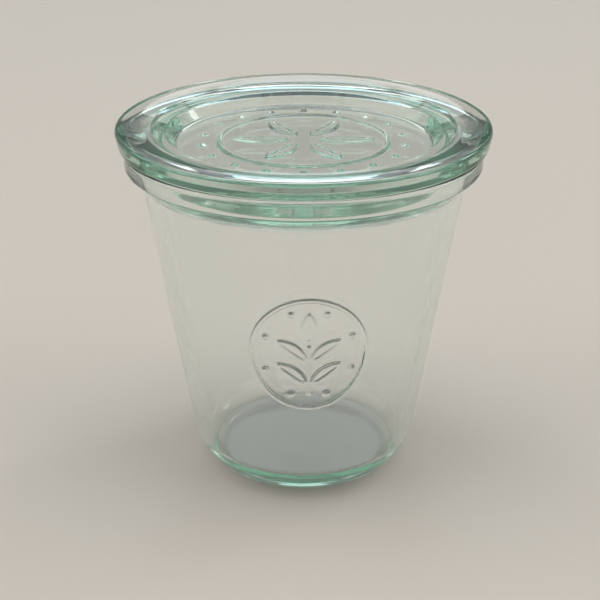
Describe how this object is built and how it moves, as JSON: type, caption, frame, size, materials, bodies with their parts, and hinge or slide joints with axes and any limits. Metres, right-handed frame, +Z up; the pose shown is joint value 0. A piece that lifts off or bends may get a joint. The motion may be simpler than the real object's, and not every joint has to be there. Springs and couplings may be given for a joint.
{
  "type": "glass canning jar with loose glass lid",
  "caption": "Small tapered canning jar of clear pale aqua pressed glass, empty, with a flared rim and a loose dished glass lid.",
  "frame": {"origin": "centre of the flat spot the jar stands on", "axes": "+Z up along the jar's axis, -Y towards the front with the raised medallion, +X to the right seen from the front"},
  "size_m": [0.0884, 0.0884, 0.0881],
  "materials": {
    "jar_glass": "clear, pale aqua, pressed, smooth",
    "lid_glass": "clear, pale aqua, pressed, smooth"
  },
  "bodies": {
    "root": {"jar": "jar_glass", "lid": "lid_glass"}
  },
  "joints": []
}
